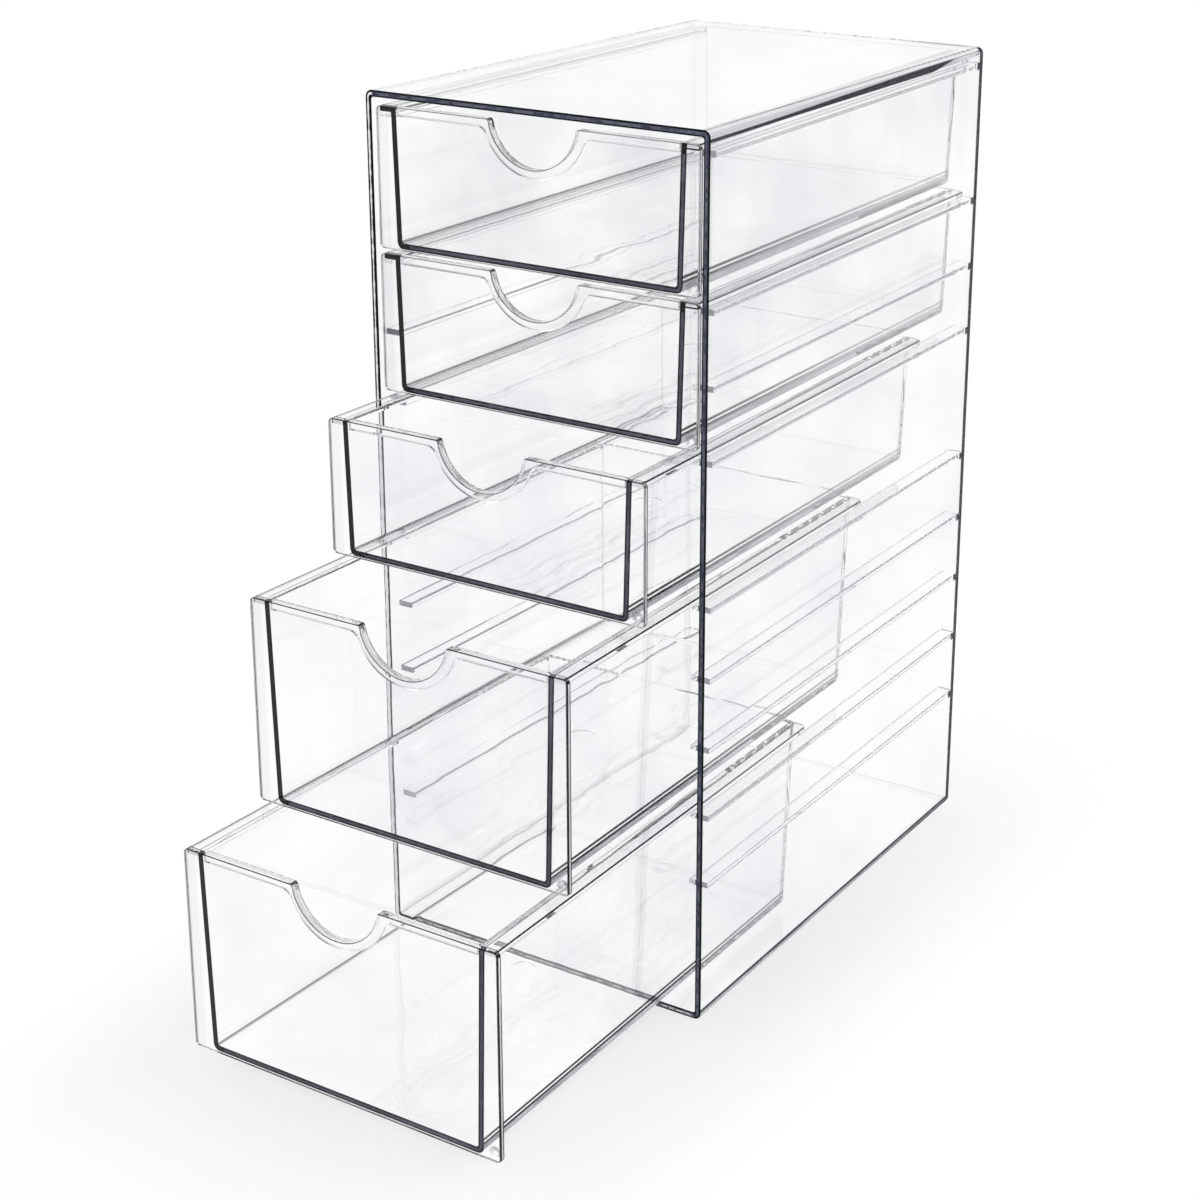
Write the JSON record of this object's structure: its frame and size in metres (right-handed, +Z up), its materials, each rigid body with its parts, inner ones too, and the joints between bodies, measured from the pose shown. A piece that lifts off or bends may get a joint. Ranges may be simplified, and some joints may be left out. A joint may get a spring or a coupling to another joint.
{
  "type": "clear acrylic makeup organizer with drawers",
  "caption": "Clear moulded tower with an open front and sliding drawers on runner ribs, each drawer with a flat front plate and a half-round finger notch.",
  "frame": {"origin": "centre of the underside of the case, midway between its front rim and its back face", "axes": "+Z up; the open front faces -Y; +X to the right of someone looking at the front"},
  "size_m": [0.13, 0.3035, 0.3],
  "materials": {
    "case_clear": "colourless moulded acrylic, polished, water-clear faces and dark slate edges",
    "tray_clear": "colourless moulded acrylic, polished",
    "front_clear": "colourless acrylic plate, polished, bonded to the tray"
  },
  "bodies": {
    "case": {"case_shell": "case_clear"},
    "drawer_1": {"drawer_1_tray": "tray_clear", "drawer_1_front": "front_clear"},
    "drawer_2": {"drawer_2_tray": "tray_clear", "drawer_2_front": "front_clear"},
    "drawer_3": {"drawer_3_tray": "tray_clear", "drawer_3_front": "front_clear"},
    "drawer_4": {"drawer_4_tray": "tray_clear", "drawer_4_front": "front_clear"},
    "drawer_5": {"drawer_5_tray": "tray_clear", "drawer_5_front": "front_clear"}
  },
  "joints": [
    {"name": "drawer_1_slide", "type": "slide", "parent": "case", "child": "drawer_1", "axis": [0, -1, 0], "range_m": [0, 0.15]},
    {"name": "drawer_2_slide", "type": "slide", "parent": "case", "child": "drawer_2", "axis": [0, -1, 0], "range_m": [0, 0.15]},
    {"name": "drawer_3_slide", "type": "slide", "parent": "case", "child": "drawer_3", "axis": [0, -1, 0], "range_m": [-0.03, 0.12]},
    {"name": "drawer_4_slide", "type": "slide", "parent": "case", "child": "drawer_4", "axis": [0, -1, 0], "range_m": [-0.072, 0.078]},
    {"name": "drawer_5_slide", "type": "slide", "parent": "case", "child": "drawer_5", "axis": [0, -1, 0], "range_m": [-0.109, 0.041]}
  ]
}
